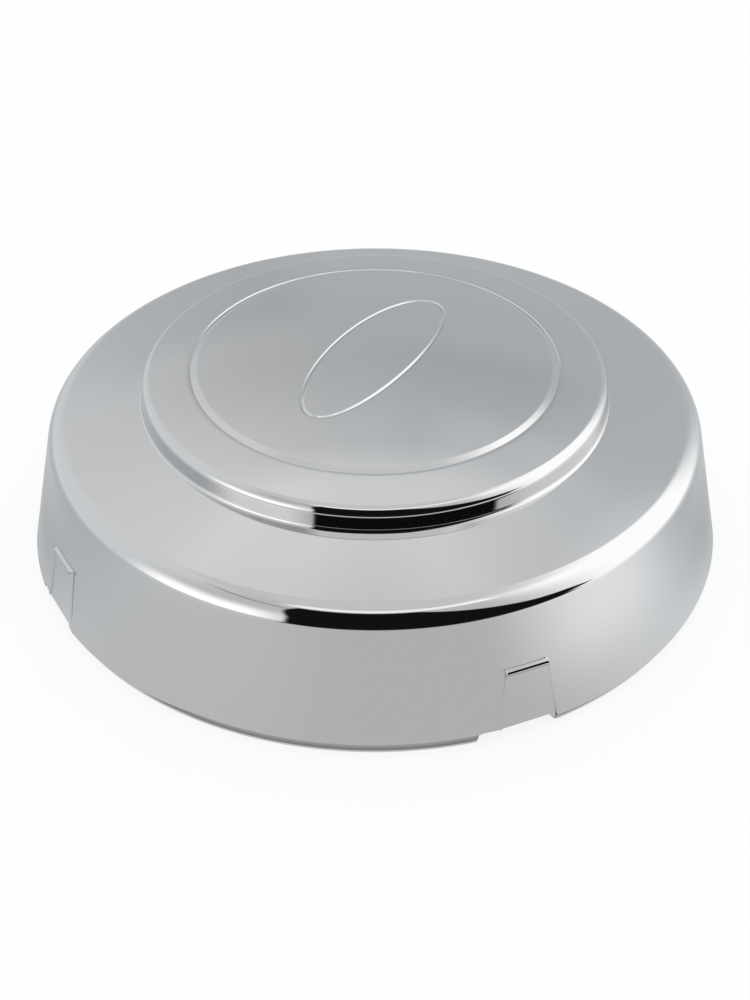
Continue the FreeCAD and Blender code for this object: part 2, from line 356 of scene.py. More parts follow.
def edge_centre():
    """Centre of the round: one radius inside the wall, and one radius inside the dome's sphere."""
    start = boss_top - boss_round * boss_normal - dome_centre
    forward = start @ wall_up
    reach = math.sqrt(forward ** 2 - start @ start + (dome_radius - boss_round) ** 2)
    return dome_centre + start + (reach - forward) * wall_up


def crease_centre():
    """Centre of the fillet: one radius out from the wall, where its end just meets the annulus."""
    turn = normal_at(fillet_end) - boss_normal
    rise = boss_fillet * (turn @ annulus_normal) / (wall_up @ annulus_normal)
    return boss_foot + boss_fillet * boss_normal + rise * wall_up


round_centre = edge_centre()
round_start = math.atan2(round_centre[1] - dome_centre[1], round_centre[0])
edge = arc_rows(round_centre, boss_round, round_start, boss_draft, 24)
fillet = arc_rows(crease_centre(), boss_fillet, boss_draft, fillet_end, 18, hollow=True)
boss_wall = line_rows(edge[-1, :2], fillet[0, :2], boss_normal, 4)[1:-1]
rim_of_dome = ring_rows(np.linspace(groove_end, edge[0, 0], 6)[1:-1])
print("round from radius", edge[0, 0].round(2), "wall", (edge[-1, 1] - fillet[0, 1]).round(2), "mm high")

# %% [markdown]
# The shoulder
#
# A wide round joins the annulus to the skirt. It sweeps the mirror from the roof of the tent through the
# doorway to the table, so the whole studio is drawn on it in a band a few millimetres wide. Its radius
# sets how wide that band looks. The skirt goes on below it down to just above the panels.

# %% The shoulder and the skirt above the panels
shoulder_round = 7.6
crease_gap = 0.05
panel_height = 20.3
panel_top = lip_height + panel_height
ledge_crease = 0.08
shoulder_centre = corner_centre(shoulder, skirt_normal, annulus_normal, shoulder_round)
bend = arc_rows(shoulder_centre, shoulder_round, math.pi / 2 - annulus_slope, skirt_draft, 18)
annulus_start = fillet[-1, :2] + crease_gap * unit(bend[0, :2] - fillet[-1, :2])
annulus = line_rows(annulus_start, bend[0, :2], annulus_normal, 8)[:-1]
panel_ledge = np.array([rim_radius - panel_height * math.tan(skirt_draft), panel_top])
above_ledge = panel_ledge + ledge_crease * np.array([-math.tan(skirt_draft), 1.0])
skirt = line_rows(bend[-1, :2], above_ledge, skirt_normal, 7)[1:]
outside = np.concatenate([ring, rim_of_dome, edge, boss_wall, fillet, annulus, bend, skirt])
outside_points, outside_normals = turn_rows(outside)
print("turned rows", len(outside))

# %% [markdown]
# The profile of a panel
#
# A panel leans with the drafted skirt, a little less than it does: proud at the top and sunk at the
# foot. At the top a ledge stands out, a nearly level shelf with a chamfered front that catches the
# light. Each row also keeps how far it has left the skirt, so one profile serves the panel and the ledge.

# %% The profile of a panel
panel_lean = math.radians(8.5)
panel_normal = normal_at(panel_lean)
foot_edge = 0.14
ledge_drop = 0.9
ledge_proud = 1.1
ledge_back = 1.4
ledge_out = np.array([0.0, 0.38, 0.74, 0.79, 0.83, 0.97, 1.0])
ledge_down = np.array([0.0, 0.1, 0.2, 0.23, 0.3, 0.9, 1.0])
ledge_tilt = np.radians([14, 14, 14, 40, 67, 67, 81])
slot_top = 4.4


def panel_profile():
    """A panel from its ledge down, as radius, height and normal, with two numbers for each row: how far
    it has left the skirt, and how far it stands out from the face.

    A nearly level shelf leads out from the skirt, a steep chamfer breaks its front edge, an ease brings
    the ledge back to the face, and the leaning face goes down to the foot.
    """
    lean_rate = math.tan(panel_lean)
    back = np.linspace(0, 1, 6)[1:]
    eased, rate = smooth_step(back)
    ridge = ledge_proud - (panel_plane - panel_height * lean_rate - panel_ledge[0])
    face_top = panel_height - ledge_drop - ledge_back
    face = runs((face_top, 0), (slot_top, 6), (foot_edge, 8))[1:]
    ledge_height = panel_height - ledge_drop * ledge_down
    back_height = panel_height - ledge_drop - ledge_back * back
    height = np.concatenate([ledge_height, back_height, face])
    ledge_facing = np.stack([np.sin(ledge_tilt), np.cos(ledge_tilt)], -1)
    back_facing = np.stack([np.ones(len(back)), lean_rate - ridge * rate / ledge_back], -1)
    face_facing = np.tile(panel_normal, (len(face), 1))
    facing = unit(np.concatenate([ledge_facing, back_facing, face_facing]))
    left = np.concatenate([ledge_out, np.ones(len(back) + len(face))])[:, None]
    stand = ridge * np.concatenate([ledge_out, 1 - eased, np.zeros(len(face))])[:, None]
    rows = np.column_stack([panel_plane - height * lean_rate, height + lip_height, facing])
    return rows, left, stand


panel, left_skirt, stand_out = panel_profile()
print("panel rows", len(panel), "ledge out to radius", panel[:, 0].max().round(2))

# %% [markdown]
# The sides of a panel
#
# The sides lean in towards the top, so the columns at a panel's edges lean with them, and the stretch
# beside the panel takes up the difference. A fine bead runs up each side, and near the foot on the right
# the bead gives way to an open slot. Both follow the columns, so they need no cut.

# %% The sides of a panel
panel_top_half = 6.8
bead_height = 0.46
slot_depth = 0.7
zone_slack = 1.001
edge_share = (panel_foot_half + edge_half - np.abs(side)) / (2 * edge_half)
panel_weight = smooth_step(edge_share)[0] * banded


def edge_relief(height, left):
    """A bead across each edge zone, four times share times (1 - share) of its height, and the slot
    below it on the right, which deepens as the root of how far down it is."""
    share = (np.abs(side) - panel_foot_half + edge_half) / (2 * edge_half)
    across = np.clip(4 * share * (1 - share), 0, 1) * banded
    slot = np.clip(1 - (height - lip_height) / slot_top, 0, 1)[:, None] * (side > 0)
    return across * left * (bead_height * (slot == 0) - slot_depth * np.sqrt(slot))


def lean(height):
    """Sideways place of each column: inside the panel it scales with the panel's half width, and
    outside it the stretch to the end of the band takes up the difference."""
    share = np.clip((height - lip_height) / panel_height, 0, 1)[:, None]
    half = panel_foot_half + share * (panel_top_half - panel_foot_half)
    distance = np.abs(side)[None, :]
    limit = np.where(side > 0, band[-1], -band[0])[None, :]
    edge_zone = np.abs(distance - panel_foot_half) <= edge_half * zone_slack
    inner = distance * (half - edge_half) / (panel_foot_half - edge_half)
    beyond = (distance - panel_foot_half - edge_half) / (limit - panel_foot_half - edge_half)
    outer = half + edge_half + beyond * (limit - half - edge_half)
    beside = np.where(distance < panel_foot_half, inner, outer)
    moved = np.where(edge_zone, distance - panel_foot_half + half, beside)
    return np.where(banded[None, :], np.sign(side)[None, :] * moved, side[None, :])


print("columns on each panel", int((panel_weight == 1).sum() / len(middles)))

# %% [markdown]
# The foot of the skirt
#
# The notch under each panel goes through the lip and takes a sliver off the skirt's foot. Over a long
# stretch before two of the panels the foot is raised as well, by a millimetre. A lift for each column
# says how high the foot is there, and the rows just above share it out, so they never cross.

# %% The foot of the skirt
relief_rise = 1.0
relief_reach = math.radians(64)
relief_ease = math.radians(14)
lift_reach = 6.0
start_share = np.clip((side - notch_start_foot) / (notch_start - notch_start_foot), 0, 1)
end_share = np.clip((notch_end_foot - side) / (notch_end_foot - notch_end), 0, 1)
notch_level = np.where(banded, np.minimum(start_share, end_share), 0) * (lip_height + notch_rise)
before = (column_angle[:, None] - middles[None, 1::2] + math.pi) % (2 * math.pi) - math.pi
relief_share = smooth_step((before + relief_reach) / relief_ease)[0] * (before < 0)
notch_lift = np.clip(notch_level - lip_height, 0, None)
foot_lift = np.maximum(notch_lift, relief_rise * relief_share.max(1))


def lift(height):
    """How far each row rises over a notch: all of the notch's reach at the foot, fading out above it."""
    return foot_lift * np.clip(1 - (height[:, None] - lip_height) / lift_reach, 0, 1)


print("foot lifted by up to", foot_lift.max().round(2), "mm")

# %% [markdown]
# The skirt with its panels
#
# Each row has two versions, one on the plain skirt and one on the panel, and a weight that depends on
# the column alone picks between them. That gives every panel a crisp, even edge. The true normals are
# kept only where a column is all skirt or all panel, and between them the mesh's own are right.

# %% The skirt with its panels


def skirt_beside(panel_row):
    """The plain skirt at the heights of the panel's rows."""
    radius = rim_radius - (panel_row[:, 1] - lip_height) * math.tan(skirt_draft)
    facing = np.tile(skirt_normal, (len(panel_row), 1))
    return np.concatenate([np.stack([radius, panel_row[:, 1]], -1), facing], 1)


def panel_rows(skirt_row, panel_row, left, stand):
    """Points on the skirt with the panels let in, and the normals of whichever a column is on."""
    weight = panel_weight * left
    rise = lift(panel_row[:, 1])
    across_panel = column_middle + np.arctan2(lean(panel_row[:, 1]), panel_plane)
    bearing = np.where(banded[None, :], across_panel, column_angle)
    face_r = panel_row[:, :1] - rise * math.tan(panel_lean)
    flat_face = face_r / np.cos(np.where(banded, bearing - column_middle, 0))
    skirt_r = skirt_row[:, :1] - rise * math.tan(skirt_draft)
    radius = (1 - weight) * skirt_r + weight * flat_face + panel_weight * stand
    radius = radius + edge_relief(panel_row[:, 1], left)
    height = panel_row[:, 1:2] + rise
    points = np.stack([radius * np.cos(bearing), radius * np.sin(bearing), height], -1)
    facing = np.where(panel_weight > 0.5, column_middle, bearing)
    pick = np.where(panel_weight > 0.5, 1.0, 0.0)
    across = (1 - pick) * skirt_row[:, 2:3] + pick * panel_row[:, 2:3]
    upward = (1 - pick) * skirt_row[:, 3:] + pick * panel_row[:, 3:]
    normals = np.stack([across * np.cos(facing), across * np.sin(facing), upward], -1)
    return points, normals


panel_points, panel_normals = panel_rows(skirt_beside(panel), panel, left_skirt, stand_out)
settled = (panel_weight == 0) | (panel_weight == 1)
print("columns all skirt or all panel", int(settled.sum()))

# %% [markdown]
# Lip and notches
#
# A low lip, set in from the skirt's foot, is what the cap stands on. It is open below each panel. Its
# rows go in under the foot, down the lip, round its two edges and up again inside. In a notch the same
# rows close up to almost nothing, so the grid stays whole and no hole has to be cut.

# %% Lip and notches
wall = 3.0
lip_inset = 1.8
lip_edge = 0.5
notch_left = 0.04
inside_radius = rim_radius - wall / math.cos(skirt_draft)
flat_spread = 1 / np.cos(np.where(banded, column_angle - column_middle, 0))


def inner_radius(height):
    """The skirt's inner wall, brought in to the back of a panel where that stands further in."""
    above = np.clip(height - lip_height, 0, None)
    plain = inside_radius - above * math.tan(skirt_draft)
    back = panel_plane - wall / math.cos(panel_lean) - above * math.tan(panel_lean)
    return (1 - panel_weight) * plain + panel_weight * np.minimum(plain, back * flat_spread)


def lip_points():
    """The foot of the skirt, the step in to the lip, the lip's two walls and the way back up inside."""
    base = lip_height + foot_lift
    face_r = (panel_plane - foot_lift * math.tan(panel_lean)) * flat_spread
    skirt_r = rim_radius - foot_lift * math.tan(skirt_draft)
    foot_r = (1 - panel_weight) * skirt_r + panel_weight * face_r
    lip_r = (1 - panel_weight) * (rim_radius - lip_inset) + panel_weight * (face_r - 2 * foot_edge)
    back_r = inner_radius(base)
    drop = np.maximum(base - notch_level, notch_left)
    round_off = lip_edge * drop / lip_height
    turn_in = np.linspace(0, -math.pi / 2, 4)[1:, None]
    fall = np.array([0.0, 0.02, 0.2, 0.5, 1 - lip_edge / lip_height])[:, None]
    edge_turn = np.linspace(0, math.pi / 2, 5)[1:, None]
    heel_turn = np.linspace(math.pi / 2, 0, 4)[:, None]
    radius = np.concatenate([
        foot_r - foot_edge * (1 - np.cos(turn_in)),
        lip_r + 0 * fall,
        lip_r - round_off * (1 - np.cos(edge_turn)),
        (lip_r - lip_edge + back_r)[None, :] / 2,
        back_r + round_off * (1 - np.cos(heel_turn)),
    ])
    depth = np.concatenate([
        -foot_edge * (1 + np.sin(turn_in)) + 0 * foot_r,
        fall * drop,
        drop - round_off * (1 - np.sin(edge_turn)),
        drop[None, :],
        drop - round_off * (1 - np.sin(heel_turn)),
    ])
    return np.stack([radius * np.cos(column_angle), radius * np.sin(column_angle), base - depth], -1)


lip = lip_points()
print("lip rows", len(lip), "lowest", round(float(lip[..., 2].min()), 3))

# %% [markdown]
# The inside
#
# The inside is seen only when the cap is turned over. It is the same shell one wall further in: the
# skirt's back, the underside of the annulus, the boss and the dome. Its rows close the grid at a second
# pole, so the mesh is a single closed skin.

# %% The inside
inner_round = 0.8


def inner_bend(corner, first, last, hollow=False):
    """A small round on the corner one wall further in, between two directions given as angles."""
    normal_a = normal_at(first)
    normal_b = normal_at(last)
    inner_corner = corner_centre(corner, normal_a, normal_b, wall)
    sign = -1 if hollow else 1
    centre = corner_centre(inner_corner, normal_a, normal_b, sign * inner_round)
    return arc_rows(centre, inner_round, first, last, 5, hollow)


def inside_rows():
    """The turned part of the inside, from above the panels' backs to the middle of the dome."""
    annulus_angle = math.pi / 2 - annulus_slope
    top_angle = math.atan2(boss_top[1] - dome_centre[1], boss_top[0])
    under_shoulder = inner_bend(shoulder, skirt_draft, annulus_angle)
    under_foot = inner_bend(boss_foot, annulus_angle, boss_draft, hollow=True)
    under_top = inner_bend(boss_top, boss_draft, top_angle)
    radius = np.linspace(under_top[-1, 0], 0, 7)[1:-1]
    height = dome_centre[1] + np.sqrt((dome_radius - wall) ** 2 - radius ** 2)
    outward = radius / dome_radius
    dome = np.stack([radius, height, outward, np.sqrt(1 - outward ** 2)], -1)
    return np.concatenate([under_shoulder, under_foot, under_top, dome])


inside = inside_rows()
back_level = runs((lip_height, 0), (panel_top, 7), (inside[0, 1], 2))[:-1]
back_height = back_level[:, None] + lift(back_level)
back_radius = inner_radius(back_height)
back_x = back_radius * np.cos(column_angle)
back_y = back_radius * np.sin(column_angle)
back_points = np.stack([back_x, back_y, back_height], -1)
inside_points, inside_normals = turn_rows(inside)
print("inside rows", len(back_points) + len(inside_points))

# %% [markdown]
# One closed skin
#
# The rows are stacked into a single grid. Quads join each row to the next and wrap round the last column
# to the first, and a fan of triangles closes each pole. The two poles are the last two points.

# %% One closed skin


def grid_faces(row_count):
    """Quads between neighbouring rows, then a fan at each pole, wound to face outward."""
    row = np.arange(row_count - 1)[:, None] * columns
    below = row + columns
    here = np.arange(columns)
    following = (here + 1) % columns
    quads = np.stack([row + here, below + here, below + following, row + following], -1)
    ends = row_count * columns
    last = (row_count - 1) * columns
    top = np.stack([np.full(columns, ends), here, following], -1)
    bottom = np.stack([np.full(columns, ends + 1), last + following, last + here], -1)
    return quads.reshape(-1, 4), np.concatenate([top, bottom])


blocks = [crown_points, outside_points, panel_points, lip, back_points, inside_points]
starts = np.cumsum([0] + [len(block) for block in blocks])
grid = np.concatenate(blocks)
poles = np.array([[0, 0, apex_height], [0, 0, apex_height - wall]])
vertices = np.concatenate([grid.reshape(-1, 3), poles]) * MM
quads, fans = grid_faces(len(grid))
mesh = bpy.data.meshes.new("center_cap_skin")
mesh.from_pydata(vertices, [], quads.tolist() + fans.tolist())
mesh.polygons.foreach_set("use_smooth", np.ones(len(mesh.polygons), bool))
mesh.update()
print("vertices", len(vertices), "triangles", 2 * len(quads) + len(fans))

# %% [markdown]
# True normals
#
# A smooth mesh averages the normals of its faces, which bends a mirror near every edge. Where the true
# normal is known it replaces the averaged one, and that keeps the flats flat and the roundings even. The
# lip and the edges of the panels keep the averaged ones. Then the skin takes the place of the CAD solid.

# %% True normals
normals = np.empty(len(vertices) * 3)
mesh.vertex_normals.foreach_get("vector", normals)
normals = normals.reshape(-1, 3)
rows = normals[:-2].reshape(len(grid), columns, 3)
rows[starts[0]:starts[1]] = crown_normals
rows[starts[1]:starts[2]] = outside_normals
rows[starts[2]:starts[3], settled] = panel_normals[:, settled]
rows[starts[5]:starts[6]] = -inside_normals
normals[-2:] = [[0, 0, 1], [0, 0, -1]]
mesh.normals_split_custom_set_from_vertices(normals)
cap = bpy.data.objects.new("center_cap_chrome", mesh)
bpy.context.scene.collection.objects.link(cap)
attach(cap, "root")
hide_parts(NODE)
print("skin is valid", not mesh.validate())

# %% [markdown]
# The plating
#
# Plated plastic is a mirror with small faults: the moulding's slight waviness shows as orange peel, and
# handling leaves a faint haze. Both are shared by the bright outside and the dull inside, so they are one
# node group with its strengths as inputs. It puts out a roughness and a height. The shader itself stays
# in each material.

# %% The plating group


def plating_group():
    """Haze as a soft noise around a base roughness, and orange peel as a fine low noise height."""
    group = bpy.data.node_groups.new("plating_surface", "ShaderNodeTree")
    sockets = group.interface
    inputs = (("Roughness", 0.04), ("Haze", 0.02), ("Haze Scale", 60.0), ("Peel Scale", 900.0))
    for name, default in inputs:
        socket = sockets.new_socket(name, in_out="INPUT", socket_type="NodeSocketFloat")
        socket.default_value = default
    for name in ("Roughness", "Peel"):
        sockets.new_socket(name, in_out="OUTPUT", socket_type="NodeSocketFloat")
    nodes = group.nodes
    links = group.links
    given = nodes.new("NodeGroupInput")
    result = nodes.new("NodeGroupOutput")
    place = nodes.new("ShaderNodeTexCoord")
    haze = nodes.new("ShaderNodeTexNoise")
    haze.inputs["Detail"].default_value = 6.0
    peel = nodes.new("ShaderNodeTexNoise")
    peel.inputs["Detail"].default_value = 2.0
    blend = nodes.new("ShaderNodeMath")
    blend.operation = "MULTIPLY_ADD"
    links.new(place.outputs["Object"], haze.inputs["Vector"])
    links.new(place.outputs["Object"], peel.inputs["Vector"])
    links.new(given.outputs["Haze Scale"], haze.inputs["Scale"])
    links.new(given.outputs["Peel Scale"], peel.inputs["Scale"])
    links.new(haze.outputs["Fac"], blend.inputs[0])
    links.new(given.outputs["Haze"], blend.inputs[1])
    links.new(given.outputs["Roughness"], blend.inputs[2])
    links.new(blend.outputs["Value"], result.inputs["Roughness"])
    links.new(peel.outputs["Fac"], result.inputs["Peel"])
    return group


plating = plating_group()
print("group sockets", [item.name for item in plating.interface.items_tree])

# %% [markdown]
# Bright outside and dull inside
#
# The bath plates the outside bright, and the inside only thinly, so it is greyer and rougher. Two
# materials with the same group and their own values are enough. The change falls at the heel of the lip,
# where the light stops reaching. The faces are in row order, so a row number picks the material.

# %% Bright outside and dull inside


def plated(name, tone, roughness, haze, peel_height):
    """A metal whose roughness and bump come from the plating group."""
    material = bpy.data.materials.new(name)
    material.use_nodes = True
    nodes = material.node_tree.nodes
    links = material.node_tree.links
    shader = nodes["Principled BSDF"]
    shader.inputs["Metallic"].default_value = 1.0
    shader.inputs["Base Color"].default_value = (tone, tone, tone, 1.0)
    surface = nodes.new("ShaderNodeGroup")
    surface.node_tree = plating
    surface.inputs["Roughness"].default_value = roughness
    surface.inputs["Haze"].default_value = haze
    bump = nodes.new("ShaderNodeBump")
    bump.inputs["Strength"].default_value = 1.0
    bump.inputs["Distance"].default_value = peel_height
    links.new(surface.outputs["Roughness"], shader.inputs["Roughness"])
    links.new(surface.outputs["Peel"], bump.inputs["Height"])
    links.new(bump.outputs["Normal"], shader.inputs["Normal"])
    return material


mesh.materials.append(plated("bright_chrome", tone=0.54, roughness=0.015, haze=0.03, peel_height=3e-7))
mesh.materials.append(plated("dull_plate", tone=0.42, roughness=0.26, haze=0.12, peel_height=2e-6))
first_inside = (starts[3] + len(lip) - 1) * columns
finish = (np.arange(len(mesh.polygons)) >= first_inside).astype(np.int32)
finish[len(quads):len(quads) + columns] = 0
mesh.polygons.foreach_set("material_index", finish)
print("bright faces", int((finish == 0).sum()), "dull faces", int(finish.sum()))

# %% [markdown]
# The table and the room
#
# The cap stands on a pale sheet in a white room. The sheet runs past every edge of the picture. It is
# mostly lit from below, like a product table, which keeps it white without more light on the metal, and
# the rest of its shading takes the soft shadow at the cap's foot.

# %% The table and the room
FLOOR = 4.0
SHEET_WHITE = 0.98
GLOW_THROUGH = 0.85


def staged(name, points, faces, material):
    """A mesh that belongs to the stage and not to the cap."""
    data = bpy.data.meshes.new(name)
    data.from_pydata(points, [], faces)
    data.materials.append(material)
    piece = bpy.data.objects.new(name, data)
    bpy.context.scene.collection.objects.link(piece)
    return piece


pale = bpy.data.materials.new("pale_sheet")
pale.use_nodes = True
nodes = pale.node_tree.nodes
links = pale.node_tree.links
sheet = nodes["Principled BSDF"]
sheet.inputs["Base Color"].default_value = (SHEET_WHITE, SHEET_WHITE, SHEET_WHITE, 1.0)
sheet.inputs["Roughness"].default_value = 1.0
sheet.inputs["Specular IOR Level"].default_value = 0.0
lit_below = nodes.new("ShaderNodeEmission")
through = nodes.new("ShaderNodeMixShader")
through.inputs["Fac"].default_value = GLOW_THROUGH
links.new(sheet.outputs["BSDF"], through.inputs[1])
links.new(lit_below.outputs["Emission"], through.inputs[2])
links.new(through.outputs["Shader"], nodes["Material Output"].inputs["Surface"])
corners = [(-FLOOR, -FLOOR, 0), (FLOOR, -FLOOR, 0), (FLOOR, FLOOR, 0), (-FLOOR, FLOOR, 0)]
staged("pale_floor", corners, [(0, 1, 2, 3)], pale)
world = bpy.data.worlds.new("white_room")
bpy.context.scene.world = world
world.use_nodes = True
world.node_tree.nodes["Background"].inputs["Color"].default_value = (1.0, 1.0, 1.0, 1.0)
world.node_tree.nodes["Background"].inputs["Strength"].default_value = 1.0
print("floor", FLOOR, "m each way")

# %% [markdown]
# The cloth of the light tent
#
# Bright metal is photographed inside a tent of white cloth, because it shows whatever stands round it.
# Lamps behind the cloth make bright patches in it, and the back is greyer. A picture of a studio could be
# wrapped round the scene, but a formula is easier to steer. Each patch is one row of a table: how strong
# it is, where it lies around the cap, and between which heights it fades in and out.

# %% The cloth of the light tent
CLOTH = 0.86
ROOF_LIGHT = 0.11
ROOF = (62, 76)
FROM_TABLE = (-2, -1)
# strength, then (middle, half width, soft edge) around the cap in degrees,
# then (start, end) of the fade in and of the fade out, in degrees of height
cloth_patches = (
    ("high at the back", 0.23, (180, 12, 42), (52, 61), (66, 74)),
    ("greyer low back", -0.15, (180, 15, 45), FROM_TABLE, (36, 56)),
    ("left side", 0.21, (-115, 25, 40), FROM_TABLE, (58, 72)),
    ("lamp low on the left", 1.1, (-50, 9, 24), FROM_TABLE, (10, 38)),
    ("fold right of the back", -0.045, (166, 6, 11), (32, 37), (52, 60)),
    ("fold left of the back", -0.08, (-163, 6, 9), FROM_TABLE, (24, 32)),
    ("glow right of the back", 0.06, (156, 8, 11), (44, 49), (54, 60)),
    ("lamp over the doorway", 0.7, (8, 42, 14), (58.5, 61), (66, 70)),
)
RIGHT_LAMP = 0.93
RIGHT_NEAR = (36, 79)
RIGHT_FAR_LOW = np.array([110, 141])
RIGHT_FAR_HIGH = np.array([128, 144])
RIGHT_LEAN = (18, 46)
RIGHT_TOP = (54, 76)


def ease(value, start, end):
    """A smooth rise from 0 at one value to 1 at another."""
    return smooth_step((value - start) / (end - start))[0]


def patch(bearing, middle, half, soft):
    """One within a half width of a bearing, easing to zero over a soft edge."""
    away = np.abs((bearing - middle + 180) % 360 - 180)
    return 1 - ease(away, half, half + soft)


def cloth_glow(bearing, rise):
    """Brightness of the cloth by bearing (0 at the camera, positive to its right) and height in degrees:
    an even glow with a lighter roof, the patches, and a large lamp on the right whose far edge leans
    back as it goes up."""
    cloth = CLOTH + ROOF_LIGHT * ease(rise, *ROOF)
    for _, strength, around, fade_in, fade_out in cloth_patches:
        height = ease(rise, *fade_in) * (1 - ease(rise, *fade_out))
        cloth = cloth + strength * patch(bearing, *around) * height
    lean_share = ease(rise, *RIGHT_LEAN)
    far_start = RIGHT_FAR_LOW[0] + (RIGHT_FAR_HIGH - RIGHT_FAR_LOW)[0] * lean_share
    far_end = RIGHT_FAR_LOW[1] + (RIGHT_FAR_HIGH - RIGHT_FAR_LOW)[1] * lean_share
    right = ease(bearing, *RIGHT_NEAR) * (1 - ease(bearing, far_start, far_end))
    return cloth + RIGHT_LAMP * right * (1 - ease(rise, *RIGHT_TOP))


tent_bearing = np.linspace(-180, 180, 541)[None, :-1]
tent_rise = np.linspace(0, 90, 121)[:, None]
cloth = cloth_glow(tent_bearing, tent_rise)
print("cloth glow from", cloth.min().round(2), "to", cloth.max().round(2))

# %% [markdown]
# The doorway
#
# The tent's front is open to a dark room where the camera stands. That doorway draws the black bands on
# the shoulder and the boss, and its slanting right edge gives the band on the shoulder its long tail. A
# pole at its left corner holds the cloth and throws a thin shadow.

# %% The doorway
DOOR_LEFT = -26
DOOR_FLARE = 5.5
DOOR_FLARE_RISE = (15, 50)
DOOR_RIGHT = 62
DOOR_SLANT = 0.77
DOOR_SILL = 5
DOOR_SILL_RISE = (8, 20)
DOOR_SOFT_LEFT = 1.0
DOOR_SOFT_RIGHT = 1.2
DOOR_TOP = (56, 58.5)
POLE_SHADE = 0.5
POLE_FOOT = 49
POLE_LEAN = 0.2
POLE_CORNER = -32
POLE_FAR = (-85, -60)
POLE_NEAR = (-34, -30)
POLE_SOFT = (0.4, 2.2)


def door_shade(bearing, rise):
    """How much of the cloth the doorway takes away: its left edge flares out with height, its right edge
    slants in, with a wider sill, and its top is level."""
    left = DOOR_LEFT - DOOR_FLARE * ease(rise, *DOOR_FLARE_RISE)
    right = DOOR_RIGHT - DOOR_SLANT * rise + DOOR_SILL * (1 - ease(rise, *DOOR_SILL_RISE))
    inside_left = ease(bearing, left - DOOR_SOFT_LEFT, left + DOOR_SOFT_LEFT)
    inside_right = 1 - ease(bearing, right - DOOR_SOFT_RIGHT, right + DOOR_SOFT_RIGHT)
    return inside_left * inside_right * (1 - ease(rise, *DOOR_TOP))


def pole_shade(bearing, rise):
    """The thin shadow of the pole that holds the cloth, from the doorway's left corner out and up."""
    line = POLE_FOOT + POLE_LEAN * (POLE_CORNER - bearing)
    along = ease(bearing, *POLE_FAR) * (1 - ease(bearing, *POLE_NEAR))
    return POLE_SHADE * along * (1 - ease(np.abs(rise - line), *POLE_SOFT))


cloth = cloth * (1 - pole_shade(tent_bearing, tent_rise))
cloth_dark = door_shade(tent_bearing, tent_rise)
print("doorway takes", round(100 * float(cloth_dark.mean()), 1), "percent of the cloth's grid")

# %% [markdown]
# The table in the metal
#
# The skirt leans back a little, so it mirrors the table and not the cloth. An apron round the cap's foot
# carries the table's tones as a glow with its light and shade painted in: a painted shadow close to the
# cap, painted shade that makes it greyer behind the cap, and a painted pool of the right lamp's light,
# with painted light on the left as well. Far out it takes on the brightness of the cloth, so that the
# shoulder's highlight ends softly. In front it goes dark past the doorway.

# %% The table in the metal
TENT = 0.9
TABLE = 0.785
# painted light on the table in front and to the left of the cap
PAINTED_FRONT_LEFT_LIGHT = 0.07
FRONT_LEFT = (-42, 14, 25)
# painted shade that makes the table greyer behind the cap, fading farther out
PAINTED_BACK_SHADE = 0.21
BACK = (180, 88, 32)
BACK_LIFT = 0.65
BACK_LIFT_REACH = (0.116, 0.142)
# painted pool of the right lamp's light on the table, weaker close to the cap
PAINTED_LAMP_POOL = 0.52
LAMP_LEFT = (22, 54)
LAMP_RIGHT = (58, 90)
LAMP_CLOSE = 0.45
LAMP_REACH = (0.112, 0.17)
FAR_REACH = (0.135, 0.75)
FAR_RIGHT = (45, 85)
# painted light on the table far out to the left
PAINTED_FAR_LEFT_LIGHT = 0.22
FAR_LEFT = (-90, 45, 30)
# painted shadow on the table at the cap's foot, fading out over a few millimetres
PAINTED_CONTACT_SHADOW = 0.6
CONTACT_REACH = 0.0045
FRONT_DARK_LEFT = (-27, -24)
FRONT_DARK_RIGHT = (56, 60)
FRONT_DARK_REACH = (0.31, 0.40)
lip_reach = (rim_radius - lip_inset) * MM
table_reach = lip_reach + np.geomspace(0.0004, TENT - lip_reach, 40)[:-1, None]


def painted_table_light(bearing, reach):
    """The table's painted light and shade by bearing and distance from the axis, and the doorway's share.
    """
    # painted light in front and to the left
    near = TABLE + PAINTED_FRONT_LEFT_LIGHT * patch(bearing, *FRONT_LEFT)
    # painted shade behind the cap
    close_back = 1 - BACK_LIFT * ease(reach, *BACK_LIFT_REACH)
    near = near - PAINTED_BACK_SHADE * patch(bearing, *BACK) * close_back
    # painted pool of lamp light on the right
    lamp = ease(bearing, *LAMP_LEFT) * (1 - ease(bearing, *LAMP_RIGHT))
    lamp = lamp * (LAMP_CLOSE + (1 - LAMP_CLOSE) * ease(reach, *LAMP_REACH))
    near = near + PAINTED_LAMP_POOL * lamp
    # far out, painted light from the right lamp and on the left
    far = ease(np.log(reach), *np.log(FAR_REACH))
    right = ease(bearing, *FAR_RIGHT) * (1 - ease(bearing, *RIGHT_FAR_LOW))
    near = near + far * (RIGHT_LAMP * right + PAINTED_FAR_LEFT_LIGHT * patch(bearing, *FAR_LEFT))
    # painted shadow at the cap's foot
    painted_shadow = 1 - PAINTED_CONTACT_SHADOW * (1 - ease(reach, lip_reach, lip_reach + CONTACT_REACH))
    front = ease(bearing, *FRONT_DARK_LEFT) * (1 - ease(bearing, *FRONT_DARK_RIGHT))
    return near * painted_shadow, front * ease(reach, *FRONT_DARK_REACH)


table, table_dark = painted_table_light(tent_bearing, table_reach)
print("table glow from", table.min().round(2), "to", table.max().round(2))

# %% [markdown]
# The tent itself
#
# The tent is half a sphere with the apron at its foot, one more grid. Each of its points carries its glow
# as a colour, a little cooler at the back and on the right, and how much of it is doorway. Only
# reflections see the tent: it throws no shadow and the camera looks through it.

# %% The tent itself
TENT_CLEAR = 0.0005
COOL = np.array([-0.022, 0.002, 0.018])
COOL_ALL = 0.6
COOL_BACK = 1.5


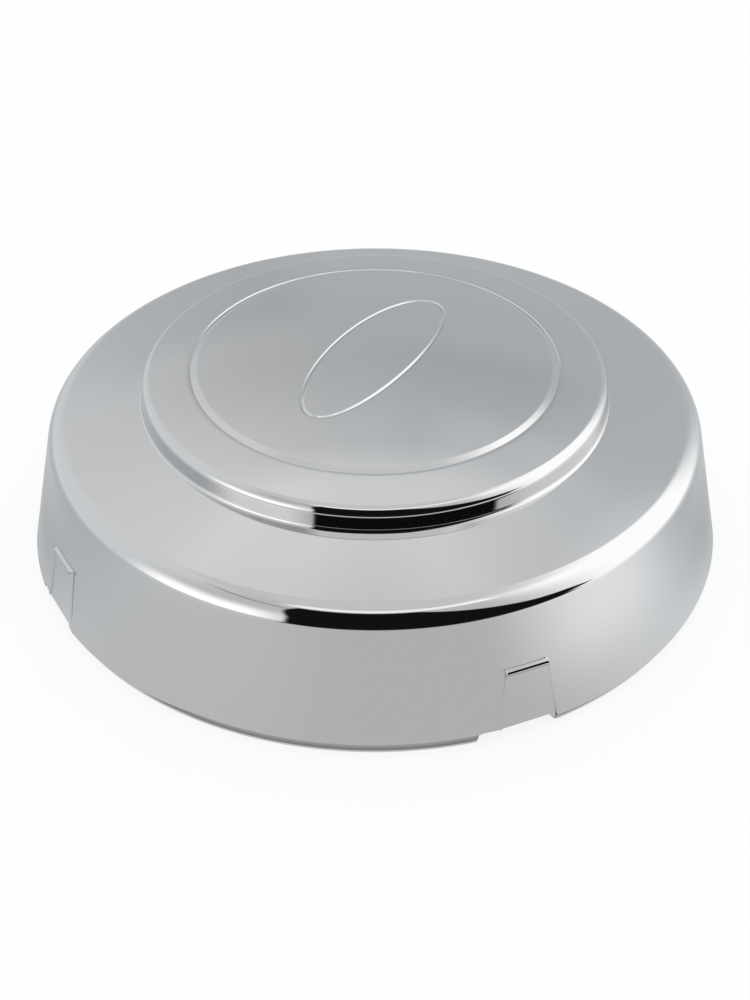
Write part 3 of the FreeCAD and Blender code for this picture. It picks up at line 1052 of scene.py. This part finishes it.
def tent_mesh():
    """Rows from the cap's foot out along the table, then up the sphere to its top, as points and faces."""
    turn = np.radians(tent_bearing)
    rise = np.radians(tent_rise)
    reach = np.concatenate([table_reach, TENT * np.cos(rise)])
    height = np.concatenate([0 * table_reach, TENT * np.sin(rise)]) + TENT_CLEAR
    points = np.stack([reach * np.sin(turn), -reach * np.cos(turn), height + 0 * turn], -1)
    across = turn.size
    row = np.arange(len(height) - 1)[:, None] * across
    above = row + across
    here = np.arange(across)
    following = (here + 1) % across
    faces = np.stack([row + here, row + following, above + following, above + here], -1)
    return points.reshape(-1, 3), faces.reshape(-1, 4)


def cool_tint(points, glow):
    """The glow as a colour: a cool cast all over, more at the back and on the right, none in the lamps."""
    around = np.degrees(np.arctan2(points[:, 0], -points[:, 1]))
    above = points[:, 2] / TENT
    higher = ease(above, 0.42, 0.56)
    back = (1 - higher) * patch(around, 180, 105, 30) + higher * patch(around, 150, 30, 14)
    back = back * (1 - ease(above, 0.75, 0.88))
    cool = (1 - ease(glow, 0.95, 1.5)) * (COOL_ALL + COOL_BACK * back)
    colour = glow[:, None] * (1 + cool[:, None] * COOL)
    return np.concatenate([colour, np.ones((len(glow), 1))], 1)


tent_points, tent_faces = tent_mesh()
tent_colour = cool_tint(tent_points, np.concatenate([table, cloth]).ravel())
tent_dark = np.concatenate([table_dark, cloth_dark]).ravel()
print("tent points", len(tent_points), "triangles", 2 * len(tent_faces))

# %% [markdown]
# The glow of the tent
#
# The cloth shines by its own colour attribute. The doorway darkens it only for metal that stands near
# the doorway, told by how far a reflected ray has come. The front of the cap keeps its black bands, and
# seen from behind the top mirrors plain cloth, as it would with the cap turned round in the tent.

# %% The glow of the tent
DARK = 0.010
DOOR_NEAR = 0.835
DOOR_FAR = 0.87


def glow_material():
    """Emission of the glow colour, mixed to the doorway's dark by its share times a fade over the length
    of the ray."""
    material = bpy.data.materials.new("tent_cloth")
    material.use_nodes = True
    nodes = material.node_tree.nodes
    links = material.node_tree.links
    nodes.clear()
    glow = nodes.new("ShaderNodeAttribute")
    glow.attribute_name = "glow"
    doorway = nodes.new("ShaderNodeAttribute")
    doorway.attribute_name = "doorway"
    path = nodes.new("ShaderNodeLightPath")
    near = nodes.new("ShaderNodeMapRange")
    near.inputs["From Min"].default_value = DOOR_NEAR
    near.inputs["From Max"].default_value = DOOR_FAR
    near.inputs["To Min"].default_value = 1.0
    near.inputs["To Max"].default_value = 0.0
    amount = nodes.new("ShaderNodeMath")
    amount.operation = "MULTIPLY"
    cut = nodes.new("ShaderNodeMixRGB")
    cut.inputs["Color2"].default_value = (DARK, DARK, DARK, 1.0)
    shine = nodes.new("ShaderNodeEmission")
    output = nodes.new("ShaderNodeOutputMaterial")
    links.new(path.outputs["Ray Length"], near.inputs["Value"])
    links.new(near.outputs["Result"], amount.inputs[0])
    links.new(doorway.outputs["Fac"], amount.inputs[1])
    links.new(amount.outputs["Value"], cut.inputs["Fac"])
    links.new(glow.outputs["Color"], cut.inputs["Color1"])
    links.new(cut.outputs["Color"], shine.inputs["Color"])
    links.new(shine.outputs["Emission"], output.inputs["Surface"])
    material.cycles.emission_sampling = "NONE"
    return material


tent = staged("light_tent", tent_points.tolist(), tent_faces.tolist(), glow_material())
glow = tent.data.attributes.new("glow", "FLOAT_COLOR", "POINT")
glow.data.foreach_set("color", tent_colour.astype(np.float32).ravel())
doorway = tent.data.attributes.new("doorway", "FLOAT", "POINT")
doorway.data.foreach_set("value", tent_dark.astype(np.float32))
tent.visible_camera = False
tent.visible_diffuse = False
tent.visible_shadow = False
print("tent attributes", [item.name for item in (glow, doorway)])

# %% [markdown]
# Camera
#
# The camera's place was solved from the outline of the rim, the shoulder and the ring groove: a short
# telephoto a little over half a metre away, looking down at the cap.

# %% Camera
focal_px = 1894.5
frame_px = 1000.0
sensor_mm = 36.0
distance = 0.620
elevation = math.radians(37.23)
target = 0.00825
roll = math.radians(-0.08)
data = bpy.data.cameras.new("camera")
data.sensor_width = sensor_mm
data.lens = focal_px / frame_px * sensor_mm
camera = bpy.data.objects.new("camera", data)
camera.location = (0.0, -distance * math.cos(elevation), target + distance * math.sin(elevation))
camera.rotation_mode = "ZYX"
camera.rotation_euler = (math.pi / 2 - elevation, 0.0, roll)
bpy.context.scene.collection.objects.link(camera)
bpy.context.scene.camera = camera
bpy.context.scene.view_settings.view_transform = "Standard"
print("lens", round(data.lens, 1), "mm")
